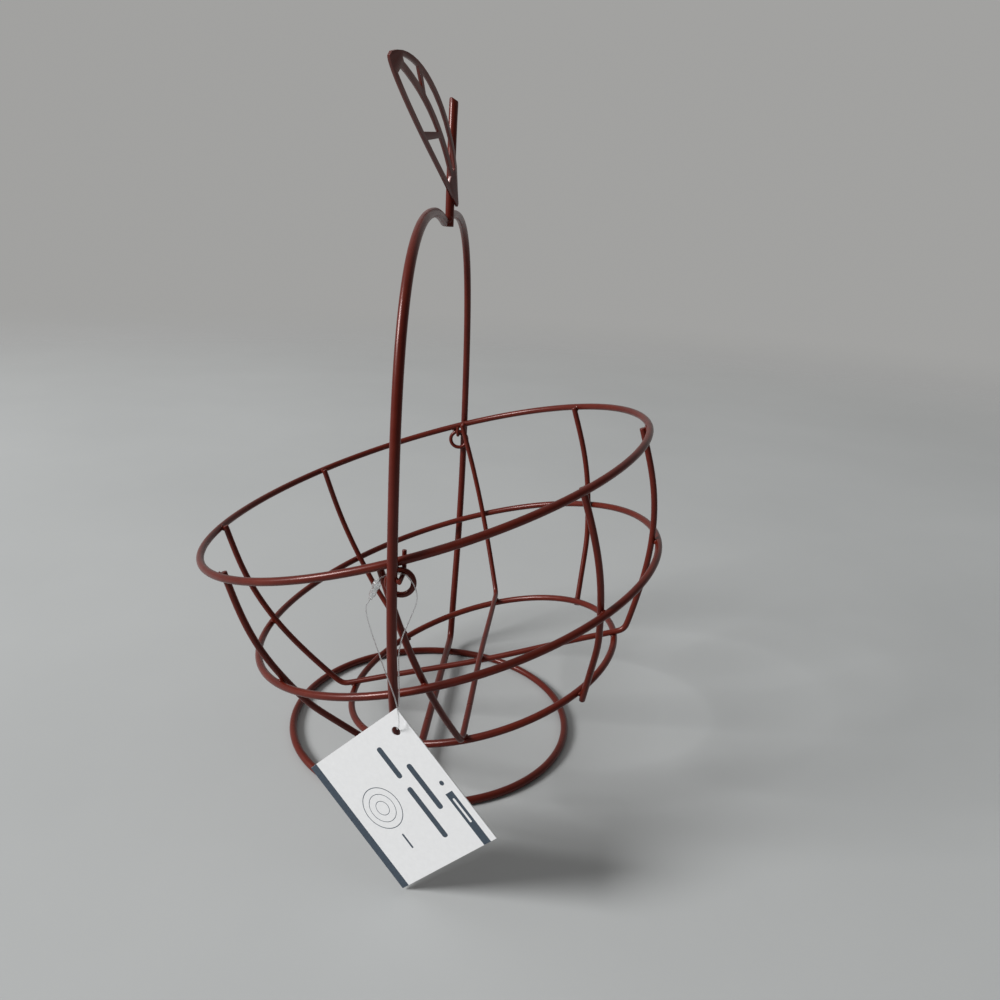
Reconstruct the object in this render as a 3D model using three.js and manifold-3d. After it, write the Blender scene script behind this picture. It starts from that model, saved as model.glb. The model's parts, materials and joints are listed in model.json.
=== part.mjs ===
// Apple basket: an open wire basket hung inside an apple-shaped wire frame with a stem and a leaf.
// Millimetres. X runs to the right, Y away from the viewer, Z up.
// Everything is placed about the centre of the base ring on the table. The last step shifts the
// whole so that the bottom centre of its box, measured without the tag thread, is the origin.
import * as THREE from 'three';
import Module from 'manifold-3d';
import { mergeVertices } from 'three/addons/utils/BufferGeometryUtils.js';

const wasm = await Module();
wasm.setup();

// Gauges
const frame_wire = 5.0;
const ring_wire = 4.4;
const rib_wire = 3.8;
const hook_wire = 2.4;
const eye_wire = 2.8;
const leaf_thickness = 1.6;
const card_thickness = 0.5;
const thread_gauge = 0.6;

// Clearances
const weld_gap = 0.3;
const rim_clearance = 0.7;

// Apple frame, as half widths and heights of its centreline
const base_ring_radius = 94.5;
const frame_half_width = 150.3;
const widest_height = 165.0;
const shoulder_half_width = 43.0;
const shoulder_height = 338.6;
const dip_depth = 4.9;
const foot_half_width = 110.5;
const foot_rise = 9.4;

// Stem and leaf
const stem_below_dip = 2.3;
const stem_length = 68.9;
const stem_lean = [-0.9, 10.0];
const stem_offset = 2.4;
const leaf_length = 100.0;
const leaf_root_rise = 12.7;
const leaf_turn = 17.8;
const leaf_climb = 38.3;
const leaf_roll = -2.4;
const leaf_band = 2.6;
const midrib_band = 3.2;
const midrib_bow = 11.1;

// Basket, hung on two hooks
const pivot_height = 171.8;
const pivot_slant = 0.45;
const basket_tilt = -18.1;
const basket_offset = -5.85;
const middle_ring_radius = 134.8;
const middle_ring_depth = 74.2;
const bottom_ring_radius = 92.5;
const bottom_ring_depth = 134.8;
const rib_slope_middle = 19.9;
const rib_slope_bottom = 31.5;
const rib_rise = 0.4;
const rib_overshoot = 3.0;
const half_rib_angles = [43.6, 132.9, 223.0, 314.3];
const long_wire_turn = -3.3;
const long_wire_shift = -2.9;
const pivot_wire_turn = -3.0;
const pivot_wire_shift = -1.3;
const pivot_wire_splay_back = -3.2;
const pivot_wire_splay_front = -1.2;
const eye_radius = 6.6;
const eye_turn_front = 34.0;
const eye_turn_back = 8.0;
const eye_clearance = 0.65;
const hook_tail = 3.0;
const hook_stub_front = 11.5;
const hook_stub_back = 7.4;
const hook_bend = 2.8;

// Hang tag, as seen from the front
const card_long = 79.4;
const card_short = 72.4;
const card_corner = [4.4, -157.7, 108.3];
const card_turn = -18.9;
const card_spin = 44.7;
const card_hole = 5.0;
const card_hole_drop = 13.0;
const clasp_width = 3.5;

const rad = THREE.MathUtils.degToRad;
const vec = (x, y, z) => new THREE.Vector3(x, y, z);

// A bent wire's centreline: runs laid end to end, each with its own number of steps.
class BentWire extends THREE.Curve {
  constructor(runs) {
    super();
    this.runs = runs;
    this.steps = runs.reduce((sum, run) => sum + run.steps, 0);
  }
  locate(u) {
    let step = u * this.steps;
    let k = 0;
    while (k < this.runs.length - 1 && step > this.runs[k].steps) step -= this.runs[k++].steps;
    return [this.runs[k].curve, Math.min(step / this.runs[k].steps, 1)];
  }
  getPoint(u, target = vec(0, 0, 0)) {
    const [curve, t] = this.locate(u);
    return target.copy(curve.getPoint(t));
  }
  getTangent(u, target = vec(0, 0, 0)) {
    const [curve, t] = this.locate(u);
    return target.copy(curve.getTangent(t));
  }
  getUtoTmapping(u) {
    return u;
  }
}

// A run through two, three or four points is straight, a single bend or an S bend.
function run(steps, ...points) {
  const kinds = [THREE.LineCurve3, THREE.QuadraticBezierCurve3, THREE.CubicBezierCurve3];
  return { steps, curve: new kinds[points.length - 2](...points), points };
}

// The same runs walked from the other end, with every point passed through a change of place.
function returned(runs, place) {
  return runs.map(({ steps, points }) => run(steps, ...points.map(place).reverse())).reverse();
}

function wireSolid(runs, gauge, sides) {
  const path = new BentWire(runs);
  const section = Array.from({ length: sides }, (_, k) => {
    const angle = 2 * Math.PI * (k + 0.5) / sides;
    return new THREE.Vector2(gauge / 2 * Math.cos(angle), gauge / 2 * Math.sin(angle));
  });
  return new THREE.ExtrudeGeometry(new THREE.Shape(section), { steps: path.steps, extrudePath: path });
}

// A welded ring lying flat: its section is a polygon with one facet facing straight down.
function ringSolid(radius, gauge, sides, segments) {
  const profile = Array.from({ length: sides + 1 }, (_, k) => {
    const angle = 2 * Math.PI * (k % sides + 0.5) / sides;
    return new THREE.Vector2(radius + gauge / 2 * Math.cos(angle), gauge / 2 * Math.sin(angle));
  });
  return new THREE.LatheGeometry(profile, segments).rotateX(Math.PI / 2);
}

function toManifold(geometry) {
  geometry.deleteAttribute('normal');
  geometry.deleteAttribute('uv');
  const merged = mergeVertices(geometry, 1e-4);
  const vertProperties = new Float32Array(merged.attributes.position.array);
  const triVerts = new Uint32Array(merged.index.array);
  return new wasm.Manifold(new wasm.Mesh({ numProp: 3, vertProperties, triVerts }));
}

function fromManifold(solid) {
  const { vertProperties, triVerts } = solid.getMesh();
  const geometry = new THREE.BufferGeometry();
  geometry.setAttribute('position', new THREE.BufferAttribute(new Float32Array(vertProperties), 3));
  geometry.setIndex(new THREE.BufferAttribute(new Uint32Array(triVerts), 1));
  geometry.computeVertexNormals();
  return geometry;
}

const object = new THREE.Group();
object.name = 'apple_basket';

function addPiece(name, geometry, colour, metalness = 0.6, roughness = 0.45) {
  const material = new THREE.MeshStandardMaterial({ color: colour, metalness, roughness });
  const mesh = new THREE.Mesh(geometry, material);
  mesh.name = name;
  object.add(mesh);
  return mesh;
}

const paint = 0x5a1f1c;

// Base ring
const ring_facet_drop = frame_wire / 2 * Math.cos(Math.PI / 12);
addPiece('base_ring', ringSolid(base_ring_radius, frame_wire, 12, 64).translate(0, 0, ring_facet_drop), paint);

// Apple frame wire: from the dip beside the stem, over the shoulder and down to a bar across the base
const bar_height = 2 * ring_facet_drop + weld_gap + frame_wire / 2;
const dip_end = frame_wire / 2 + weld_gap;
const dip_height = shoulder_height - dip_depth;
const foot_height = bar_height + foot_rise;
const at = (y, z) => vec(0, y, z);
const shoulder = at(shoulder_half_width, shoulder_height);
const widest = at(frame_half_width, widest_height);
const foot = at(foot_half_width, foot_height);
const foot_bend_top = at(foot_half_width - 0.2 * frame_wire, foot_height - 0.56 * frame_wire);
const foot_corner = at(foot_half_width - 0.68 * frame_wire, bar_height);
const bar_end = at(foot_half_width - 2.08 * frame_wire, bar_height);
const between = (from, to, share) => from + share * (to - from);
const dip_pull = at(0.28 * shoulder_half_width, between(dip_height, shoulder_height, 0.5));
const shoulder_pull = at(0.65 * shoulder_half_width, shoulder_height);
const upper_pull = at(0.938 * frame_half_width, shoulder_height);
const side_pull = at(frame_half_width, between(widest_height, shoulder_height, 0.605));
const lower_pull = at(frame_half_width, between(widest_height, foot_height, 0.44));
const foot_pull = at(between(foot_half_width, frame_half_width, 0.5), between(foot_height, widest_height, 0.37));
const apple_half = [
  run(7, at(dip_end, dip_height), dip_pull, shoulder_pull, shoulder),
  run(17, shoulder, upper_pull, side_pull, widest),
  run(12, widest, lower_pull, foot_pull, foot),
  run(1, foot, foot_bend_top),
  run(4, foot_bend_top, foot_corner, bar_end),
  run(2, bar_end, at(0, bar_height)),
];
const mirrored = (p) => vec(p.x, -p.y, p.z);
const apple_runs = [...apple_half, ...returned(apple_half, mirrored)];
addPiece('apple_frame_wire', wireSolid(apple_runs, frame_wire, 12), paint);

// Stem: cut square below the dip, rounded at the top
const stem_foot = vec(stem_offset, 0, dip_height - stem_below_dip);
const stem_end = stem_foot.clone().add(vec(stem_lean[0], stem_lean[1], stem_length - frame_wire / 2));
const stem_runs = [run(12, stem_foot, vec(stem_offset, 0, dip_height + 0.32 * stem_length),
  vec(stem_offset + stem_lean[0] / 3, stem_lean[1] / 4, dip_height + 0.67 * stem_length), stem_end)];
const stem_dome = new THREE.SphereGeometry(frame_wire / 2 * 0.995, 12, 8);
stem_dome.translate(stem_end.x, stem_end.y, stem_end.z);
const stem = toManifold(wireSolid(stem_runs, frame_wire, 12)).add(toManifold(stem_dome));
addPiece('stem', fromManifold(stem), paint);

// Leaf: flat plate, pierced so that an outline band, a midrib and two veins remain
const edgeOf = (...p) => new THREE.CubicBezierCurve(...p.map(([s, t]) => new THREE.Vector2(s, t)));
const leaf_upper = edgeOf([0, 1.6], [23.3, 28.4], [82.4, 29.9], [leaf_length, 0.8]);
const leaf_lower = edgeOf([0, -1.6], [41.7, -5.4], [105, -7.2], [leaf_length, -0.8]);
const leaf_middle = new THREE.QuadraticBezierCurve(
  new THREE.Vector2(0, 0),
  new THREE.Vector2(leaf_length / 2, 2 * midrib_bow),
  new THREE.Vector2(leaf_length, 0),
);

// Points along an edge between two of its fractions, moved sideways: positive is to its left.
function alongside(edge, offset, from, to, count) {
  return Array.from({ length: count + 1 }, (_, k) => {
    const t = from + (to - from) * k / count;
    const tangent = edge.getTangent(t);
    return edge.getPoint(t).add(new THREE.Vector2(-tangent.y, tangent.x).multiplyScalar(offset));
  });
}
const leaf_outline = [
  ...alongside(leaf_lower, 0, 0, 1, 20),
  ...alongside(leaf_upper, 0, 1, 0, 20),
];
const leaf_windows = [
  [leaf_upper, -1, 0.74, 0.90, 0.68, 0.89],
  [leaf_upper, -1, 0.15, 0.70, 0.15, 0.64],
  [leaf_lower, 1, 0.39, 0.72, 0.415, 0.90],
  [leaf_lower, 1, 0.10, 0.345, 0.14, 0.375],
];
const leaf_shape = new THREE.Shape(leaf_outline);
for (const [edge, side, edge_from, edge_to, mid_from, mid_to] of leaf_windows) {
  leaf_shape.holes.push(new THREE.Path([
    ...alongside(edge, side * leaf_band, edge_from, edge_to, 7),
    ...alongside(leaf_middle, -side * midrib_band / 2, mid_to, mid_from, 7),
  ]));
}
const leaf_along = vec(
  -Math.sin(rad(leaf_turn)) * Math.cos(rad(leaf_climb)),
  -Math.cos(rad(leaf_turn)) * Math.cos(rad(leaf_climb)),
  Math.sin(rad(leaf_climb)),
);
const leaf_level = leaf_along.clone().cross(vec(0, 0, 1)).normalize();
const leaf_across = leaf_level.clone().cross(leaf_along).applyAxisAngle(leaf_along, rad(leaf_roll));
const leaf_normal = leaf_along.clone().cross(leaf_across);
const leaf_reach = frame_wire / 2 + leaf_thickness / 2 + weld_gap;
const leaf_root = vec(stem_offset, 0, dip_height + leaf_root_rise).addScaledVector(leaf_level, -leaf_reach);
const leaf_place = new THREE.Matrix4().makeBasis(leaf_along, leaf_across, leaf_normal).setPosition(leaf_root);
const leaf = new THREE.ExtrudeGeometry(leaf_shape, { depth: leaf_thickness, bevelEnabled: false });
addPiece('leaf', leaf.translate(0, 0, -leaf_thickness / 2).applyMatrix4(leaf_place), paint);

// Hooks: welded to the side of the frame, each turned up at its inner end
const hook_offset = (frame_wire + hook_wire) / 2 + weld_gap;
const rim_radius = frame_half_width - frame_wire / 2 - rim_clearance - ring_wire / 2;
const rib_reach = (ring_wire + rib_wire) / 2 + weld_gap;
const stub_reach = rim_radius - rib_reach;
const eye_span = Math.sqrt(rim_radius ** 2 - basket_offset ** 2);
const hook_rise = eye_span * Math.tan(rad(pivot_slant));
const hookRuns = (stub) => [
  run(1, vec(hook_offset, -frame_half_width - hook_tail, 0), vec(hook_offset, -stub_reach - hook_bend, 0)),
  run(4, vec(hook_offset, -stub_reach - hook_bend, 0), vec(hook_offset, -stub_reach, 0),
    vec(hook_offset, -stub_reach, hook_bend)),
  run(1, vec(hook_offset, -stub_reach, hook_bend), vec(hook_offset, -stub_reach, stub)),
];
const hooks = [
  ['hook_front', hook_stub_front, 0, pivot_height + hook_rise],
  ['hook_back', hook_stub_back, Math.PI, pivot_height - hook_rise],
];
for (const [name, stub, turn, height] of hooks) {
  addPiece(name, wireSolid(hookRuns(stub), hook_wire, 8).rotateZ(turn).translate(0, 0, height), paint);
}

// The basket is drawn upright about the line through both hooks, then turned and tilted into place.
// The front hook was welded on a little higher than the back one.
const basket_place = new THREE.Matrix4().makeTranslation(0, 0, pivot_height)
  .multiply(new THREE.Matrix4().makeRotationZ(Math.atan(hook_offset / eye_span)))
  .multiply(new THREE.Matrix4().makeRotationX(rad(-pivot_slant)))
  .multiply(new THREE.Matrix4().makeRotationY(rad(basket_tilt)));

// Eyes: small rings standing under the rim, each turned a little about its hook
const eye_drop = eye_radius - (eye_wire + hook_wire) / 2 - weld_gap;
const eye_top = eye_radius + eye_wire / 2 - eye_drop;
const rim_height = eye_top + eye_clearance + weld_gap + ring_wire / 2;
function eyeRing(side, turn) {
  return ringSolid(eye_radius, eye_wire, 8, 20).rotateX(Math.PI / 2)
    .translate(-eye_drop * Math.sin(rad(turn)), side * eye_span, -eye_drop * Math.cos(rad(turn)));
}
const shank_foot = eye_radius - eye_drop;
const shank_length = rim_height - ring_wire / 2 - weld_gap - shank_foot;
const shank = new THREE.CylinderGeometry(eye_wire / 2, eye_wire / 2, shank_length, 8).rotateX(Math.PI / 2);
shank.translate(-eye_drop * Math.sin(rad(eye_turn_back)), eye_span, shank_foot + shank_length / 2);
const back_eye = fromManifold(toManifold(eyeRing(1, eye_turn_back)).add(toManifold(shank)));
addPiece('eye_front', eyeRing(-1, eye_turn_front).applyMatrix4(basket_place), paint);
addPiece('eye_back', back_eye.applyMatrix4(basket_place), paint);

function addBasketPiece(name, geometry) {
  addPiece(name, geometry.applyMatrix4(basket_place), paint);
}

// Rings
const middle_height = rim_height - middle_ring_depth;
const bottom_height = rim_height - bottom_ring_depth;
const ring_sizes = [
  ['rim_ring', rim_radius, rim_height, 76],
  ['middle_ring', middle_ring_radius, middle_height, 68],
  ['bottom_ring', bottom_ring_radius, bottom_height, 56],
];
for (const [name, radius, height, segments] of ring_sizes) {
  addBasketPiece(name, ringSolid(radius, ring_wire, 10, segments).translate(basket_offset, 0, height));
}

// Ribs: inside the rim and the middle ring, outside the bottom ring. Drawn as radius and height.
const slope = (angle) => new THREE.Vector2(Math.sin(rad(angle)), Math.cos(rad(angle)));
const middle_slope = slope(rib_slope_middle);
const bottom_slope = slope(rib_slope_bottom);
const rib_top = new THREE.Vector2(stub_reach, rim_height + rib_rise);
const rib_middle = new THREE.Vector2(middle_ring_radius, middle_height)
  .add(new THREE.Vector2(-middle_slope.y, middle_slope.x).multiplyScalar(rib_reach));
const rib_bottom = new THREE.Vector2(bottom_ring_radius, bottom_height)
  .add(new THREE.Vector2(bottom_slope.y, -bottom_slope.x).multiplyScalar(rib_reach));
const beyond = (p, direction, length) => p.clone().addScaledVector(direction, length);
const upper_drop = middle_ring_depth;
const lower_drop = bottom_ring_depth - middle_ring_depth;
const upper_rib = [rib_top, beyond(rib_top, new THREE.Vector2(0, -1), 0.32 * upper_drop),
  beyond(rib_middle, middle_slope, 0.43 * upper_drop), rib_middle];
const lower_rib = [rib_middle, beyond(rib_middle, middle_slope, -0.51 * lower_drop),
  beyond(rib_bottom, bottom_slope, 0.84 * lower_drop), rib_bottom];

// Half ribs end just past the bottom ring.
const onMeridian = (angle) => (p) => vec(
  basket_offset + p.x * Math.cos(rad(angle)),
  p.x * Math.sin(rad(angle)),
  p.y,
);
const half_rib_names = ['back_right', 'back_left', 'front_left', 'front_right'];
half_rib_names.forEach((name, k) => {
  const place = onMeridian(half_rib_angles[k]);
  const end = beyond(rib_bottom, bottom_slope, -rib_overshoot);
  const runs = [
    run(8, ...upper_rib.map(place)),
    run(7, ...lower_rib.map(place)),
    run(1, place(rib_bottom), place(end)),
  ];
  addBasketPiece(`half_rib_${name}`, wireSolid(runs, rib_wire, 10));
});

// Cross wires: down one side, over the bottom ring and up the other. They bow past each other.
// The second one's upright ends stand a little to one side of its floor run.
const floor_height = bottom_height + rib_reach;
const turn_radius = rib_bottom.x + (floor_height - rib_bottom.y) * Math.tan(rad(rib_slope_bottom));
const turn_point = new THREE.Vector2(turn_radius, floor_height);
const turn_in = 5.0;
const crossing_bow = (rib_wire + weld_gap) / 2;
function halfCrossWire(bow, splay) {
  const place = (p) => vec(p.x, splay * (p.y - floor_height) / (rib_top.y - floor_height), p.y);
  const before = beyond(turn_point, bottom_slope, turn_in);
  const after = new THREE.Vector2(turn_radius - turn_in, floor_height);
  const centre = new THREE.Vector2(0, floor_height + bow);
  return [
    run(8, ...upper_rib.map(place)),
    run(6, ...[rib_middle, beyond(rib_middle, middle_slope, -0.33 * lower_drop),
      beyond(before, bottom_slope, 0.3 * lower_drop), before].map(place)),
    run(4, ...[before, turn_point, after].map(place)),
    run(5, ...[after, beyond(after, new THREE.Vector2(-1, 0), 0.49 * bottom_ring_radius),
      beyond(centre, new THREE.Vector2(1, 0), 0.32 * bottom_ring_radius), centre].map(place)),
  ];
}
function crossWire(bow, splay_ahead, splay_behind) {
  const behind = returned(halfCrossWire(bow, splay_behind), (p) => vec(-p.x, p.y, p.z));
  return wireSolid([...halfCrossWire(bow, splay_ahead), ...behind], rib_wire, 10);
}
const pivot_wire = crossWire(crossing_bow, pivot_wire_splay_back, pivot_wire_splay_front);
const cross_wires = [
  ['cross_wire_long', crossWire(-crossing_bow, 0, 0), long_wire_shift, long_wire_turn],
  ['cross_wire_pivot', pivot_wire, pivot_wire_shift, 90 + pivot_wire_turn],
];
for (const [name, wire, side_shift, turn] of cross_wires) {
  addBasketPiece(name, wire.translate(0, side_shift, 0).rotateZ(rad(turn)).translate(basket_offset, 0, 0));
}

// Tag card: hangs on a corner, pierced below it
const card_level = vec(Math.cos(rad(card_turn)), Math.sin(rad(card_turn)), 0);
const card_long_way = card_level.clone().multiplyScalar(Math.cos(rad(card_spin)))
  .add(vec(0, 0, -Math.sin(rad(card_spin))));
const card_short_way = card_level.clone().multiplyScalar(-Math.sin(rad(card_spin)))
  .add(vec(0, 0, -Math.cos(rad(card_spin))));
const card_shape = new THREE.Shape([
  new THREE.Vector2(0, 0),
  new THREE.Vector2(card_long, 0),
  new THREE.Vector2(card_long, card_short),
  new THREE.Vector2(0, card_short),
]);
const hole_inset = card_hole_drop / Math.SQRT2;
const card_opening = new THREE.Path().absarc(hole_inset, hole_inset, card_hole / 2, 0, 2 * Math.PI, true);
card_shape.holes.push(card_opening);
const card_normal = card_long_way.clone().cross(card_short_way);
const card_place = new THREE.Matrix4().makeBasis(card_long_way, card_short_way, card_normal)
  .setPosition(...card_corner);
const card = new THREE.ExtrudeGeometry(card_shape, {
  depth: card_thickness, bevelEnabled: false, curveSegments: 8,
});
addPiece('tag_card', card.translate(0, 0, -card_thickness / 2).applyMatrix4(card_place), 0xf2f1ec, 0, 0.8);

// Tag thread: hangs from the front hook, passes through the card and is closed by a small clasp
const clasp_top = vec(-6.5, -149.2, 172.0);
const clasp_bottom = vec(-9.8, -151.0, 162.9);
const thread_left = [
  [-12.0, -151.7, 158.8], [-11.8, -152.0, 155.3], [-10.7, -152.9, 151.4], [-8.8, -153.5, 145.5],
  [-4.7, -154.6, 134.5], [-1.5, -156.2, 126.6], [2.2, -158.6, 118.7], [5.0, -160.8, 112.2],
  [6.2, -161.9, 107.4], [6.4, -161.6, 101.3], [5.6, -160.1, 98.2],
];
const thread_right = [
  [4.9, -158.0, 96.9], [4.4, -156.1, 98.0], [4.6, -154.6, 101.5], [4.9, -153.7, 106.8],
  [4.7, -153.7, 121.7], [4.4, -153.7, 135.1], [5.1, -153.6, 140.8], [6.3, -153.3, 146.0],
  [8.1, -152.9, 151.0], [10.0, -152.0, 156.2], [11.8, -150.3, 161.8], [11.9, -149.7, 165.6],
  [10.6, -149.0, 169.8], [8.2, -148.2, 172.8], [6.0, -147.4, 174.6], [4.0, -147.1, 174.8],
  [1.0, -147.1, 174.6], [-2.5, -147.4, 174.1],
];
const clasp_along = clasp_top.clone().sub(clasp_bottom).normalize();
const thread_start = clasp_bottom.clone().addScaledVector(clasp_along, -weld_gap);
const thread_finish = clasp_top.clone().addScaledVector(clasp_along, weld_gap);
const thread_points = [thread_start, ...[...thread_left, ...thread_right].map((p) => vec(...p)), thread_finish];
const thread_path = new THREE.CatmullRomCurve3(thread_points, false, 'centripetal');
const thread_runs = [{ steps: 78, curve: thread_path }];
const thread = addPiece('tag_thread', wireSolid(thread_runs, thread_gauge, 8), 0xd8dde0, 0, 0.2);

// Clasp: a short capsule with flat ends
const clasp_length = clasp_top.distanceTo(clasp_bottom);
const clasp_profile = [
  new THREE.Vector2(0, 0), new THREE.Vector2(clasp_width * 0.32, 0),
  new THREE.Vector2(clasp_width / 2, clasp_width * 0.4),
  new THREE.Vector2(clasp_width / 2, clasp_length - clasp_width * 0.4),
  new THREE.Vector2(clasp_width * 0.32, clasp_length), new THREE.Vector2(0, clasp_length),
];
const clasp = new THREE.LatheGeometry(clasp_profile, 12);
clasp.applyQuaternion(new THREE.Quaternion().setFromUnitVectors(vec(0, 1, 0), clasp_along));
clasp.translate(clasp_bottom.x, clasp_bottom.y, clasp_bottom.z);
const clasp_piece = addPiece('tag_clasp', clasp, 0xe4e8ea, 0, 0.2);

// Shift to the bottom centre of the box round everything but the thread and its clasp
const box = new THREE.Box3();
for (const mesh of object.children) {
  if (mesh !== thread && mesh !== clasp_piece) box.expandByObject(mesh);
}
const shift = vec(-(box.min.x + box.max.x) / 2, -(box.min.y + box.max.y) / 2, -box.min.z);
for (const mesh of object.children) mesh.geometry.translate(shift.x, shift.y, shift.z);

export default object;
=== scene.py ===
# Hanging wire fruit basket in an apple-shaped wire frame, dressed for a studio picture.
# Lengths are metres, and the origin is the bottom centre of the whole basket.
import json
import math

import bmesh
import bpy
from mathutils import Matrix, Vector, noise
from mathutils.bvhtree import BVHTree


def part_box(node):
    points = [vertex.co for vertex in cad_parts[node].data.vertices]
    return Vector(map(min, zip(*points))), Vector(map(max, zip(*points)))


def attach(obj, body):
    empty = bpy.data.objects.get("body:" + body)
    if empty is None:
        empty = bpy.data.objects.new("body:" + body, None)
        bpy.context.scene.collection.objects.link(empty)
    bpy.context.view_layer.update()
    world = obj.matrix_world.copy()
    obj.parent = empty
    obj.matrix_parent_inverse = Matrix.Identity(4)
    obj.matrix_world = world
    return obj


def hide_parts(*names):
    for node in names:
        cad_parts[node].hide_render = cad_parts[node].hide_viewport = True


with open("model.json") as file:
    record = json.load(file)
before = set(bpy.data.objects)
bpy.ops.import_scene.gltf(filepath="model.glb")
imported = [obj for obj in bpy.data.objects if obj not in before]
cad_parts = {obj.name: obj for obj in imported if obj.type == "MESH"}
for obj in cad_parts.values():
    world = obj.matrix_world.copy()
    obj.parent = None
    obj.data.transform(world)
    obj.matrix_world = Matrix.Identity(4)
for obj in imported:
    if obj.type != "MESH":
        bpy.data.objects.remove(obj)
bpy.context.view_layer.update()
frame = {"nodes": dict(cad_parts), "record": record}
scene = bpy.context.scene
body_of = {name: body for body, names in frame["record"]["behaviour"]["bodies"].items() for name in names}
MM = 0.001

# The base ring's centre is the point that the places below count from.
ring_low, ring_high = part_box("base_ring")
CENTRE = Vector(((ring_low.x + ring_high.x) / 2, (ring_low.y + ring_high.y) / 2, 0))


def place(x, y, z):
    """A point given in millimetres from the base ring's centre."""
    return CENTRE + Vector((x, y, z)) * MM


# ---------------------------------------------------------------- camera, solved from the photograph
CAMERA_AT = place(68.8, -509.2, 336.1)
CAMERA_FORWARD = Vector((-0.05239664, 0.94729846, -0.31603833))
CAMERA_UP = Vector((-0.07193662, 0.31207046, 0.9473316))
PHOTO_PIXELS = 1000
FOCAL_PIXELS = 836.96
SENSOR = 36.0
NEAREST, FARTHEST = 0.01, 20


def photo_camera():
    data = bpy.data.cameras.new("photo_camera")
    data.sensor_fit = "HORIZONTAL"
    data.sensor_width = SENSOR
    data.lens = FOCAL_PIXELS * SENSOR / PHOTO_PIXELS
    data.clip_start = NEAREST
    data.clip_end = FARTHEST
    camera = bpy.data.objects.new("photo_camera", data)
    scene.collection.objects.link(camera)
    backward = -CAMERA_FORWARD.normalized()
    right = CAMERA_UP.cross(backward).normalized()
    up = backward.cross(right)
    camera.matrix_world = Matrix.Translation(CAMERA_AT) @ Matrix((right, up, backward)).transposed().to_4x4()
    scene.camera = camera


photo_camera()


# ---------------------------------------------------------------- small helpers
def link(data, name, body):
    """A new piece that rides on a body."""
    piece = bpy.data.objects.new(name, data)
    scene.collection.objects.link(piece)
    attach(piece, body)
    return piece


def smooth_mesh(bm, name, material):
    """Ends a mesh under construction, shaded smooth and in one material."""
    mesh = bpy.data.meshes.new(name)
    bm.to_mesh(mesh)
    bm.free()
    mesh.polygons.foreach_set("use_smooth", [True] * len(mesh.polygons))
    mesh.materials.append(material)
    return mesh


# Nearly all of a noise lies between these two values.
NOISE_LOW, NOISE_HIGH = 0.3, 0.7
NOISE_ROUGHNESS = 0.55


class Nodes:
    """The node tree of a material or of the world, under construction."""

    def __init__(self, owner, shader):
        owner.use_nodes = True
        self.owner = owner
        self.tree = owner.node_tree
        self.shader = self.tree.nodes[shader]

    def add(self, kind, **settings):
        node = self.tree.nodes.new(kind)
        for key, value in settings.items():
            setattr(node, key, value)
        return node

    def join(self, source, target):
        self.tree.links.new(source, target)

    def put(self, socket, value):
        if isinstance(value, bpy.types.NodeSocket):
            self.join(value, socket)
        else:
            socket.default_value = value

    def set(self, **sockets):
        """Puts values or links on the shader's own sockets, with _ for each space in a name."""
        for name, value in sockets.items():
            self.put(self.shader.inputs[name.replace("_", " ")], value)

    def math(self, operation, *values):
        node = self.add("ShaderNodeMath", operation=operation)
        for socket, value in zip(node.inputs, values):
            self.put(socket, value)
        return node.outputs[0]

    def vector(self, operation, *values):
        node = self.add("ShaderNodeVectorMath", operation=operation)
        for socket, value in zip(node.inputs, values):
            self.put(socket, value)
        return node.outputs["Value" if operation in ("DOT_PRODUCT", "LENGTH") else "Vector"]

    def position(self):
        """The piece's own coordinates, which stay with it as it moves."""
        return self.add("ShaderNodeTexCoord").outputs["Object"]

    def noise(self, scale, detail):
        node = self.add("ShaderNodeTexNoise")
        for name, number in (("Scale", scale), ("Detail", detail), ("Roughness", NOISE_ROUGHNESS)):
            node.inputs[name].default_value = number
        self.join(self.position(), node.inputs["Vector"])
        return node.outputs["Fac"]

    def mapped(self, value, low, high, bottom, top, curve="LINEAR"):
        """The value carried from one range to another, and held at both ends."""
        node = self.add("ShaderNodeMapRange", interpolation_type=curve)
        for name, number in (("From Min", low), ("From Max", high), ("To Min", bottom), ("To Max", top)):
            node.inputs[name].default_value = number
        self.join(value, node.inputs["Value"])
        return node.outputs["Result"]

    def span(self, cloud, bottom, top):
        """A noise spread from bottom to top."""
        return self.mapped(cloud, NOISE_LOW, NOISE_HIGH, bottom, top)

    def shades(self, cloud, *colours):
        """A noise coloured through the shades, from its low values to its high ones."""
        node = self.add("ShaderNodeValToRGB")
        elements = node.color_ramp.elements
        while len(elements) < len(colours):
            elements.new(0.5)
        for k, (element, colour) in enumerate(zip(elements, colours)):
            element.position = NOISE_LOW + (NOISE_HIGH - NOISE_LOW) * k / (len(colours) - 1)
            element.color = (*colour, 1)
        self.join(cloud, node.inputs["Fac"])
        return node.outputs["Color"]

    def bump(self, height, distance, strength, under=None):
        node = self.add("ShaderNodeBump")
        node.inputs["Strength"].default_value = strength
        node.inputs["Distance"].default_value = distance
        self.join(height, node.inputs["Height"])
        if under is not None:
            self.join(under, node.inputs["Normal"])
        return node.outputs["Normal"]


def material(name):
    return Nodes(bpy.data.materials.new(name), "Principled BSDF")


# ---------------------------------------------------------------- materials
# Noise scales are counts to the metre, with their detail. Bumps have a depth in metres and a strength.
PAINT_SHADES = [(0.078, 0.0072, 0.0034), (0.096, 0.0100, 0.0046), (0.116, 0.0140, 0.0066)]
PAINT_BROAD_SHARE = 0.75
PAINT_ROUGHNESS = (0.27, 0.35)
WIRE_GLOSS = 0.34
LEAF_GLOSS = 0.95
COAT_WEIGHT = 0.08
COAT_ROUGHNESS = 0.08


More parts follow.
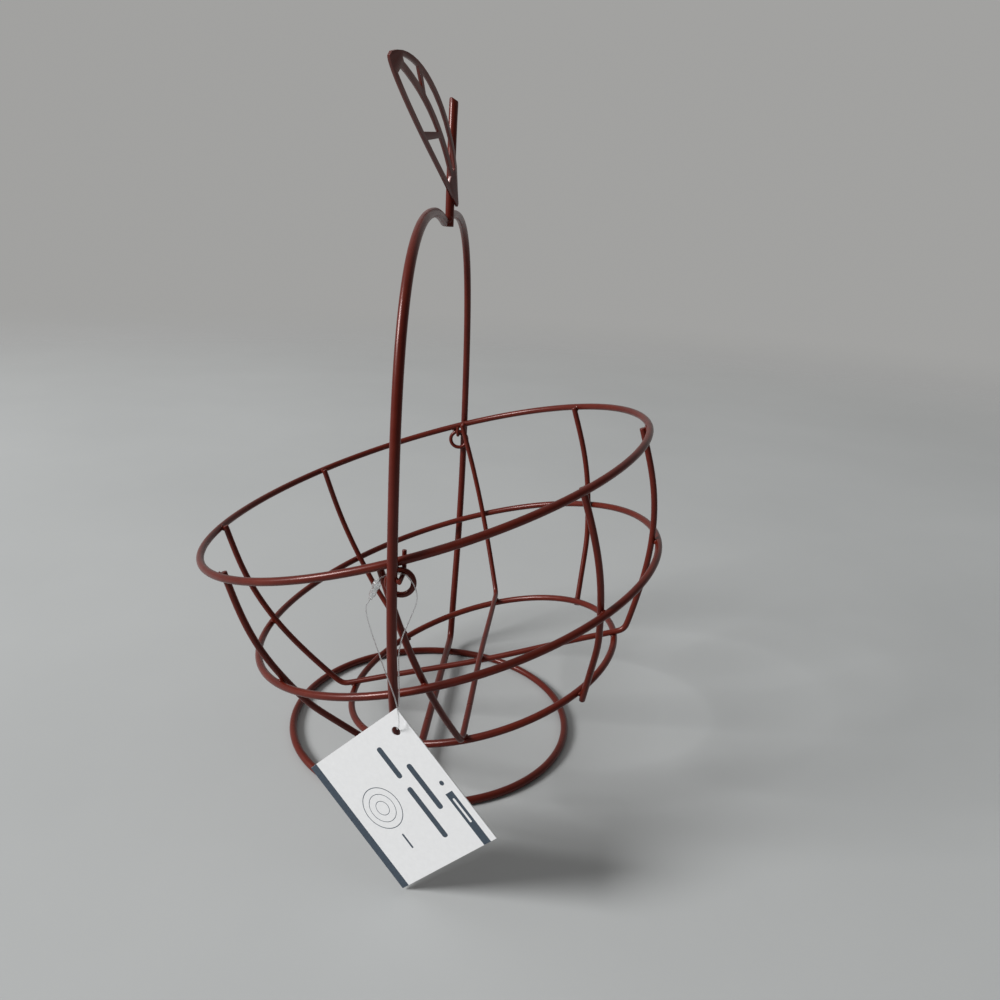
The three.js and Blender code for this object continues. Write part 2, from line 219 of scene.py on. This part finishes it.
def wire_paint(name, gloss):
    """Copper-brown enamel, a little redder where it is thin, with a faint orange peel."""
    n = material(name)
    broad = n.math("MULTIPLY", n.noise(45, 3), PAINT_BROAD_SHARE)
    fine = n.math("MULTIPLY", n.noise(420, 2), 1 - PAINT_BROAD_SHARE)
    peel = n.bump(n.noise(700, 2), 0.00003, 0.12)
    drag = n.bump(n.noise(160, 2), 0.0001, 0.12, under=peel)
    n.set(
        Base_Color=n.shades(n.math("ADD", broad, fine), *PAINT_SHADES), Normal=drag,
        Roughness=n.span(n.noise(120, 3), *PAINT_ROUGHNESS), Metallic=0.10, IOR=1.40,
        Specular_IOR_Level=gloss, Coat_Weight=COAT_WEIGHT, Coat_Roughness=COAT_ROUGHNESS)
    return n.owner


CARD_CORNER = place(4.4, -157.7, 108.3)
CARD_TURN = math.radians(-18.9)
CARD_SPIN = math.radians(44.7)
card_level = Vector((math.cos(CARD_TURN), math.sin(CARD_TURN), 0))
LONG_WAY = card_level * math.cos(CARD_SPIN) + Vector((0, 0, -math.sin(CARD_SPIN)))
SHORT_WAY = -card_level * math.sin(CARD_SPIN) + Vector((0, 0, -math.cos(CARD_SPIN)))
CARD_BACK = LONG_WAY.cross(SHORT_WAY)

# Plain bars in place of print: from u, v to u, v in millimetres from the top corner, and the corner radius
BARS = [
    (-2, 67.4, 82, 74, 0.1), (48.4, 4.0, 82, 8.9, 0.1), (11.0, 23.8, 30.0, 27.2, 1.4),
    (36.0, 23.8, 67.0, 27.2, 1.4), (26.0, 14.7, 53.5, 18.1, 1.4), (41.4, 5.0, 44.0, 7.6, 1.2),
    (54.5, 47.9, 63.5, 49.1, 0.5),
]
BARE_BAR = (52.0, 5.8, 66.5, 7.1, 0.6)
# Rings: centre u, v, radius and line width
RINGS = [(38.0, 48.5, 11.8, 0.45), (38.0, 48.5, 8.0, 0.35), (38.0, 48.5, 4.0, 0.35)]
PAPER = [(0.735, 0.738, 0.750), (0.765, 0.768, 0.780)]
NAVY = [(0.034, 0.050, 0.072), (0.046, 0.066, 0.092)]
CARD_ROUGHNESS = (0.38, 0.52)


def card_print():
    """Smooth white card with a navy edge and plain navy bars on its front, bare on its back."""
    n = material("card")
    offset = n.vector("SUBTRACT", n.position(), CARD_CORNER)
    front = n.math("LESS_THAN", n.vector("DOT_PRODUCT", offset, CARD_BACK), 0.0)
    joined = n.add("ShaderNodeCombineXYZ")
    for axis, way in (("X", LONG_WAY), ("Y", SHORT_WAY)):
        n.join(n.math("MULTIPLY", n.vector("DOT_PRODUCT", offset, way), 1 / MM), joined.inputs[axis])
    spot = joined.outputs[0]

    def bar(u0, v0, u1, v1, corner):
        middle = ((u0 + u1) / 2, (v0 + v1) / 2, 0)
        half = ((u1 - u0) / 2 - corner, (v1 - v0) / 2 - corner, 0)
        away = n.vector("ABSOLUTE", n.vector("SUBTRACT", spot, middle))
        past = n.vector("MAXIMUM", n.vector("SUBTRACT", away, half), (0, 0, 0))
        return n.math("LESS_THAN", n.vector("LENGTH", past), corner)

    def ring(u, v, radius, width):
        reach = n.vector("LENGTH", n.vector("SUBTRACT", spot, (u, v, 0)))
        return n.math("LESS_THAN", n.math("ABSOLUTE", n.math("SUBTRACT", reach, radius)), width / 2)

    first, *others = [bar(*b) for b in BARS] + [ring(*r) for r in RINGS]
    ink = first
    for shape in others:
        ink = n.math("MAXIMUM", ink, shape)
    ink = n.math("MULTIPLY", n.math("SUBTRACT", ink, bar(*BARE_BAR)), front)
    fibre = n.noise(420, 4)
    mix = n.add("ShaderNodeMix", data_type="RGBA")
    n.join(ink, mix.inputs["Factor"])
    n.join(n.shades(fibre, *PAPER), mix.inputs["A"])
    n.join(n.shades(n.noise(700, 2), *NAVY), mix.inputs["B"])
    n.set(
        Base_Color=mix.outputs["Result"], Roughness=n.span(fibre, *CARD_ROUGHNESS),
        Normal=n.bump(fibre, 0.00005, 0.3))
    return n.owner


PLASTIC_DULLEST = 0.93
PLASTIC_ROUGHNESS = (0.08, 0.2)
PLASTIC_IOR = 1.47


def clear_plastic(name, colour, clear):
    n = material(name)
    cloud = n.noise(900, 3)
    n.set(
        Base_Color=n.shades(cloud, tuple(PLASTIC_DULLEST * c for c in colour), colour),
        Roughness=n.span(cloud, *PLASTIC_ROUGHNESS), Normal=n.bump(cloud, 0.00004, 0.4),
        Transmission_Weight=clear, IOR=PLASTIC_IOR)
    return n.owner


PAINT = wire_paint("wire_paint", WIRE_GLOSS)
LEAF_PAINT = wire_paint("leaf_paint", LEAF_GLOSS)
CARD = card_print()
THREAD = clear_plastic("thread", (0.90, 0.91, 0.92), 0.9)
CLASP = clear_plastic("clasp", (0.93, 0.95, 0.96), 0.85)

# ---------------------------------------------------------------- tag thread, the only cord
CLASP_TOP = place(-6.5, -149.2, 172.0)
CLASP_BOTTOM = place(-10.3, -151.1, 162.1)
CLASP_WIDTH = 3.9 * MM
CLASP_SIDES = 24
# A barrel that the thread's two ends snap into: shares of its half width and of its length
CLASP_PROFILE = [
    (0, 0), (0.30, 0.0), (0.42, 0.02), (0.50, 0.10), (0.82, 0.22), (0.88, 0.30), (0.80, 0.42), (0.76, 0.56),
    (0.98, 0.60), (1, 0.66), (1, 0.80), (0.92, 0.86), (0.60, 0.92), (0.36, 0.99), (0.28, 1), (0, 1),
]
THREAD_WIDTH = 0.6 * MM
THREAD_ROUNDNESS = 2
ROUTE_STEPS = 6
JOIN_GAP = 0.3 * MM
THREAD_LEFT = [
    (-12.0, -151.7, 158.8), (-11.8, -152.0, 155.3), (-10.7, -152.9, 151.4), (-8.8, -153.5, 145.5),
    (-4.7, -154.6, 134.5), (-1.5, -156.2, 126.6), (2.2, -158.6, 118.7), (5.0, -160.8, 112.2),
    (6.2, -161.9, 107.4), (6.4, -161.6, 101.3), (5.6, -160.1, 98.2),
]
THREAD_RIGHT = [
    (4.9, -158.0, 96.9), (4.4, -156.1, 98.0), (4.6, -154.6, 101.5), (4.9, -153.7, 106.8),
    (4.7, -153.7, 121.7), (4.4, -153.7, 135.1), (5.1, -153.6, 140.8), (6.3, -153.3, 146.0),
    (8.1, -152.9, 151.0), (10.0, -152.0, 156.2), (11.8, -150.3, 161.8), (11.9, -149.7, 165.6),
    (10.6, -149.0, 169.8), (8.2, -148.2, 172.8), (6.0, -147.4, 174.6), (4.0, -147.1, 174.8),
    (1.0, -147.1, 174.6), (-2.5, -147.4, 174.1),
]


def smooth_route(points):
    """Centripetal spline through the points."""
    ends = [2 * points[0] - points[1], *points, 2 * points[-1] - points[-2]]
    route = []
    for i in range(1, len(ends) - 2):
        p0, p1, p2, p3 = ends[i - 1:i + 3]
        d0, d1, d2 = [(b - a).length ** 0.5 for a, b in ((p0, p1), (p1, p2), (p2, p3))]
        t1 = ((p1 - p0) / d0 - (p2 - p0) / (d0 + d1) + (p2 - p1) / d1) * d1
        t2 = ((p2 - p1) / d1 - (p3 - p1) / (d1 + d2) + (p3 - p2) / d2) * d1
        for step in range(ROUTE_STEPS):
            t = step / ROUTE_STEPS
            bend = t * t * (3 * (p2 - p1) - 2 * t1 - t2) + t ** 3 * (2 * (p1 - p2) + t1 + t2)
            route.append(p1 + t * t1 + bend)
    return route + [points[-1]]


def tube(name, route, width):
    curve = bpy.data.curves.new(name, "CURVE")
    curve.dimensions = "3D"
    curve.bevel_depth = width / 2
    curve.bevel_resolution = THREAD_ROUNDNESS
    curve.use_fill_caps = True
    spline = curve.splines.new("POLY")
    spline.points.add(len(route) - 1)
    for point, at in zip(spline.points, route):
        point.co = (*at, 1)
    curve.materials.append(THREAD)
    return curve


def turned(name, profile, sides, start, along, material):
    """A turned piece: radius and distance pairs swept round the line from start along a direction."""
    bm = bmesh.new()
    spin = Vector((0, 0, 1)).rotation_difference(along)
    rows = []
    for radius, distance in profile:
        turns = [2 * math.pi * k / sides for k in range(1 if radius == 0 else sides)]
        rows.append([
            bm.verts.new(start + spin @ Vector((radius * math.cos(a), radius * math.sin(a), distance)))
            for a in turns])
    for low, high in zip(rows, rows[1:]):
        for k in range(sides):
            after = k + 1
            corners = [low[k % len(low)], low[after % len(low)], high[after % len(high)], high[k % len(high)]]
            bm.faces.new(list(dict.fromkeys(corners)))
    bmesh.ops.recalc_face_normals(bm, faces=bm.faces)
    return smooth_mesh(bm, name, material)


clasp_along = (CLASP_TOP - CLASP_BOTTOM).normalized()
clasp_length = (CLASP_TOP - CLASP_BOTTOM).length
thread_route = smooth_route([
    CLASP_BOTTOM - clasp_along * JOIN_GAP, *[place(*p) for p in THREAD_LEFT + THREAD_RIGHT],
    CLASP_TOP + clasp_along * JOIN_GAP])
thread = link(tube("nylon_thread", thread_route, THREAD_WIDTH), "nylon_thread", "tag_loop")
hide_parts("tag_thread")
clasp_profile = [(radius * (CLASP_WIDTH / 2), distance * clasp_length) for radius, distance in CLASP_PROFILE]
clasp_mesh = turned("snap_clasp", clasp_profile, CLASP_SIDES, CLASP_BOTTOM, clasp_along, CLASP)
clasp = link(clasp_mesh, "snap_clasp", "tag_loop")
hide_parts("tag_clasp")

# ---------------------------------------------------------------- wires
# Wire gauge in millimetres, sides of its section in the solids, and what is bent from it
STOCK = [
    (5.0, 12, ["base_ring", "apple_frame_wire", "stem"]),
    (2.4, 8, ["hook_front", "hook_back"]),
    (2.8, 8, ["eye_front", "eye_back"]),
    (4.4, 12, ["rim_ring", "middle_ring", "bottom_ring"]),
    (3.8, 10, [
        "cross_wire_long", "cross_wire_pivot", "half_rib_back_right", "half_rib_back_left",
        "half_rib_front_left", "half_rib_front_right"]),
]
WIRES = {name: (gauge, sides) for gauge, sides, names in STOCK for name in names}
# The paint's own thickness, left off where a wire rests on the table or has to clear another
COAT = 0.1 * MM
BARE_OF_COAT = ("base_ring", "hook_front", "hook_back", "cross_wire_pivot")
DOUBLES_WITHIN = 2e-6
SAME_PLANE = 0.99999
END_CORNERS = 6
END_TOLERANCE = 0.1
END_BEVEL = 0.10
BEVEL_SEGMENTS = 2
JOIN_ANGLE = math.radians(20)
JOIN_SHAPE_ANGLE = math.radians(80)

# The stem's snipped end, in wire radii: its height at the middle, its fall to the right, and its highest
STEM_CUT_FROM = 0.05
STEM_CUT_HEIGHT = 0.98
STEM_CUT_SLOPE = 0.56
STEM_CUT_MOST = 1.15


def merged(node):
    """The node's mesh with its doubled vertices merged."""
    bm = bmesh.new()
    bm.from_mesh(frame["nodes"][node].data)
    bmesh.ops.remove_doubles(bm, verts=bm.verts, dist=DOUBLES_WITHIN)
    bmesh.ops.recalc_face_normals(bm, faces=bm.faces)
    bm.normal_update()
    return bm


def flat_ends(bm, radius):
    """Groups of level faces whose corners all lie one wire radius from their middle."""
    groups, seen = [], set()
    for face in list(bm.faces):
        if face in seen:
            continue
        group, queue = {face}, [face]
        while queue:
            for edge in queue.pop().edges:
                for other in edge.link_faces:
                    if other not in group and other.normal.dot(face.normal) > SAME_PLANE:
                        group.add(other)
                        queue.append(other)
        seen |= group
        corners = {v for f in group for v in f.verts}
        middle = sum((v.co for v in corners), Vector()) / len(corners)
        off_round = max(abs((v.co - middle).length / radius - 1) for v in corners)
        if len(corners) > END_CORNERS and off_round < END_TOLERANCE:
            groups.append(list(group))
    return groups


def slanted_cut(bm, radius):
    """Turns the stem's domed top into a wire end snipped off at a slant."""
    middle = max(bm.verts, key=lambda v: v.co.z).co - Vector((0, 0, radius))
    for vert in bm.verts:
        off = vert.co - middle
        if off.z > STEM_CUT_FROM * radius:
            height = min(STEM_CUT_HEIGHT - STEM_CUT_SLOPE * off.x / radius, STEM_CUT_MOST)
            vert.co.z = middle.z + height * radius


def rounded(node, gauge, sides, coat):
    """A smooth copy of a wire, with softened ends, that stands in for the faceted one."""
    radius = gauge / 2 * MM
    bm = merged(node)
    ends = [bmesh.ops.dissolve_faces(bm, faces=group)["region"][0] for group in flat_ends(bm, radius)]
    bmesh.ops.join_triangles(
        bm, faces=[f for f in bm.faces if f not in ends], angle_face_threshold=JOIN_ANGLE,
        angle_shape_threshold=JOIN_SHAPE_ANGLE)
    if ends:
        rims = list({edge for face in ends for edge in face.edges})
        bmesh.ops.bevel(
            bm, geom=rims, offset=END_BEVEL * radius, segments=BEVEL_SEGMENTS, profile=0.5, affect="EDGES")
    if node == "stem":
        slanted_cut(bm, radius)
    bm.normal_update()
    # Subdividing pulls a round section in to this share of its corners' radius.
    shrink = (6 + 2 * math.cos(2 * math.pi / sides)) / 8
    for vert, normal in [(v, v.normal.copy()) for v in bm.verts]:
        vert.co += normal * (radius * (1 / shrink - 1) + coat)
    name = node + "_round"
    piece = link(smooth_mesh(bm, name, PAINT), name, body_of[node])
    smooth = piece.modifiers.new("smooth", "SUBSURF")
    smooth.levels = smooth.render_levels = 1
    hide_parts(node)


for wire, (wire_gauge, wire_sides) in WIRES.items():
    rounded(wire, wire_gauge, wire_sides, 0 if wire in BARE_OF_COAT else COAT)

# ---------------------------------------------------------------- leaf
# The root's reach as a share of the leaf, its width there as a share, and how much longer it is
LEAF_NECK = 0.15
LEAF_ROOT_WIDTH = 0.55
LEAF_ROOT_LONGER = 3.6 * MM
LEAF_LOWEST = 1.5 * MM
LEAF_EDGE = 0.25 * MM
LEAF_FLAT_WITHIN = math.radians(0.5)
LEAF_EDGE_ANGLE = math.radians(40)


def leaf_plate():
    """A copy of the cut leaf, drawn out at its root, with edges that the paint has rounded over."""
    bm = merged("leaf")
    flat = max(bm.faces, key=lambda face: face.calc_area()).normal.copy()
    lowest = min(v.co.z for v in bm.verts)
    corners = [v.co for v in bm.verts if v.co.z < lowest + LEAF_LOWEST]
    root = sum(corners, Vector()) / len(corners)
    tip = max((v.co for v in bm.verts), key=lambda co: co.z).copy()
    along = (tip - root).normalized()
    across = flat.cross(along).normalized()
    for vert in bm.verts:
        outward = 1 - min(max((vert.co - root).dot(along) / (tip - root).length / LEAF_NECK, 0), 1)
        vert.co -= across * (vert.co - root).dot(across) * outward * (1 - LEAF_ROOT_WIDTH)
        vert.co -= along * LEAF_ROOT_LONGER * outward
    bmesh.ops.dissolve_limit(bm, angle_limit=LEAF_FLAT_WITHIN, verts=bm.verts, edges=bm.edges)
    piece = link(smooth_mesh(bm, "leaf_plate", LEAF_PAINT), "leaf_plate", body_of["leaf"])
    edge = piece.modifiers.new("edge", "BEVEL")
    edge.width = LEAF_EDGE
    edge.segments = BEVEL_SEGMENTS
    edge.limit_method = "ANGLE"
    edge.angle_limit = LEAF_EDGE_ANGLE
    edge.harden_normals = True
    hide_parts("leaf")


leaf_plate()

# ---------------------------------------------------------------- weld beads
WELD_REACH = 0.75 * MM
WELD_APART = 6.0 * MM
SAMPLE_STEP = 0.8 * MM
# A bead's half width is this share of the thinner wire, plus this much, in millimetres.
BEAD_SHARE = 0.42
BEAD_MORE = 0.45
BEAD_FLATNESS = 0.5
LEAF_GAUGE = 2.4
BEAD_SWELL = 0.16
BEAD_LUMPS = 1.6
# Places are this many times as far apart in the noise, so that no two beads are alike.
BEAD_SPREAD = 900


def near_spots(node, tree):
    """Points along the node's edges that all but touch the other piece, nearest first."""
    bm = merged(node)
    found = []
    for edge in bm.edges:
        a, b = edge.verts[0].co, edge.verts[1].co
        count = max(1, math.ceil((b - a).length / SAMPLE_STEP))
        for k in range(count + 1):
            point = a.lerp(b, k / count)
            hit, _, _, gap = tree.find_nearest(point, WELD_REACH)
            if hit is not None:
                found.append((gap, tuple(point), tuple(hit)))
    bm.free()
    return sorted(found)


def bead(bm, middle, across, wide):
    """A small uneven blob of weld metal, flattened along one direction."""
    made = bmesh.ops.create_icosphere(bm, subdivisions=3, radius=1.0)["verts"]
    turn = Vector((0, 0, 1)).rotation_difference(across).to_matrix()
    for vert in made:
        swell = 1 + BEAD_SWELL * noise.noise(vert.co * BEAD_LUMPS + middle * BEAD_SPREAD)
        sized = Vector((vert.co.x * wide, vert.co.y * wide, vert.co.z * BEAD_FLATNESS * wide))
        vert.co = middle + turn @ sized * swell


def boxes_near(first, second):
    (low_a, high_a), (low_b, high_b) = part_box(first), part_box(second)
    return all(
        low_a[k] <= high_b[k] + WELD_REACH and low_b[k] <= high_a[k] + WELD_REACH for k in range(3))


def weld_beads(body):
    """Beads wherever two pieces of the body all but touch, one every few millimetres."""
    names = [n for n in sorted(body_of) if body_of[n] == body and (n in WIRES or n == "leaf")]
    trees = {}
    for name in names:
        bm = merged(name)
        trees[name] = BVHTree.FromBMesh(bm)
        bm.free()
    beads = bmesh.new()
    for i, first in enumerate(names):
        for second in names[i + 1:]:
            if not boxes_near(first, second):
                continue
            thinner = min(WIRES[n][0] if n in WIRES else LEAF_GAUGE for n in (first, second))
            kept = []
            for _, point, hit in near_spots(first, trees[second]):
                point, hit = Vector(point), Vector(hit)
                middle = (point + hit) / 2
                if all((middle - other).length > WELD_APART for other in kept):
                    kept.append(middle)
                    bead(beads, middle, (hit - point).normalized(), (BEAD_SHARE * thinner + BEAD_MORE) * MM)
    name = "weld_beads_" + body
    link(smooth_mesh(beads, name, PAINT), name, body)


for body in sorted({body_of[wire] for wire in WIRES}):
    weld_beads(body)
for name, node in frame["nodes"].items():
    node.data.materials.clear()
    node.data.materials.append(CARD if name == "tag_card" else PAINT)

# ---------------------------------------------------------------- table and light
TABLE_REACH = 3.0
TABLE_SIDES = 96
TABLE_SINK = 0.0002
TABLE_SHADES = [(0.425, 0.437, 0.442), (0.453, 0.465, 0.470)]
TABLE_ROUGHNESS = (0.72, 0.80)
TABLE_GLOSS = 0.25
FADE_FROM, FADE_TO = 0.7, 2.8
WINDOW_AT = (-4.5, -1.9, 3.1)
WINDOW_TOWARDS = (0, 0, 0.12)
WINDOW_SIZE = 2.1
WINDOW_WATTS = 395
WINDOW_COLOUR = (1.0, 1.0, 0.99)
# How bright the room is: its walls, its ceiling, and the share left in the corner away from the window
WALL, CEILING, CORNER = 0.36, 0.50, 0.34
CORNER_WAY = (0.6, -0.8, 0)
ROOM_COLOUR = (1.0, 0.995, 0.975, 1)


def table():
    """A pale table top that fades into the room well away from the basket."""
    bm = bmesh.new()
    bmesh.ops.create_circle(bm, cap_ends=True, segments=TABLE_SIDES, radius=TABLE_REACH)
    bmesh.ops.translate(bm, verts=bm.verts, vec=(0, 0, -TABLE_SINK))
    n = material("table")
    cloud = n.noise(3, 4)
    faded = n.mapped(n.vector("LENGTH", n.position()), FADE_FROM, FADE_TO, 0, 1, "SMOOTHSTEP")
    n.set(
        Base_Color=n.shades(cloud, *TABLE_SHADES), Roughness=n.span(cloud, *TABLE_ROUGHNESS),
        Normal=n.bump(n.noise(60, 3), 0.0004, 0.12), Specular_IOR_Level=TABLE_GLOSS,
        Alpha=n.math("SUBTRACT", 1.0, faded))
    top = bpy.data.objects.new("table", smooth_mesh(bm, "table", n.owner))
    scene.collection.objects.link(top)


def window():
    data = bpy.data.lights.new("window", "AREA")
    data.shape = "DISK"
    data.size = WINDOW_SIZE
    data.energy = WINDOW_WATTS
    data.color = WINDOW_COLOUR
    light = bpy.data.objects.new("window", data)
    scene.collection.objects.link(light)
    light.location = WINDOW_AT
    light.rotation_euler = (Vector(WINDOW_TOWARDS) - Vector(WINDOW_AT)).to_track_quat("-Z", "Y").to_euler()


def room():
    """A plain room: pale walls, a paler ceiling, and less light from behind the camera."""
    world = bpy.data.worlds.new("room")
    scene.world = world
    n = Nodes(world, "Background")
    way = n.add("ShaderNodeTexCoord").outputs["Generated"]
    upward = n.vector("DOT_PRODUCT", way, (0, 0, 1))
    cornerward = n.vector("DOT_PRODUCT", way, CORNER_WAY)
    light = n.math(
        "MULTIPLY", n.mapped(upward, 0.15, 1.0, WALL, CEILING, "SMOOTHSTEP"),
        n.mapped(cornerward, -0.5, 0.7, 1.0, CORNER, "SMOOTHSTEP"))
    n.set(Color=ROOM_COLOUR, Strength=light)


table()
window()
room()
scene.view_settings.view_transform = "Standard"

bpy.context.view_layer.update()
